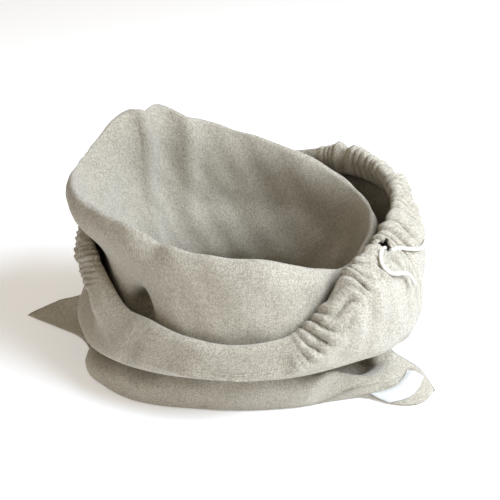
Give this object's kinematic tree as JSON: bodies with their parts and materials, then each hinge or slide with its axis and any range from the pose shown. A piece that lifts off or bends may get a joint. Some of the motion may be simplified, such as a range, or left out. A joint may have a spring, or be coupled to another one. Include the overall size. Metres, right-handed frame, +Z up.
{
  "type": "linen bread bag",
  "caption": "Soft linen bread bag standing slumped and open, mouth turned down outside as a cuff, ruched cord casing, flat ears at both bottom corners.",
  "frame": {"origin": "middle of the cloth's footprint on the floor, at the height of the rest face", "axes": "+X along the bottom seam towards the ear with the label, -Y the front with the low side of the mouth, +Z up out of the open mouth"},
  "size_m": [0.2796, 0.1868, 0.1438],
  "materials": {
    "bag_cloth": "natural undyed linen, plain weave, matt",
    "drawstring": "undyed cotton cord, matt",
    "label": "off-white woven tape, blank, matt"
  },
  "bodies": {
    "root": {"bag_cloth": "bag_cloth", "drawstring": "drawstring", "label": "label"}
  },
  "joints": []
}
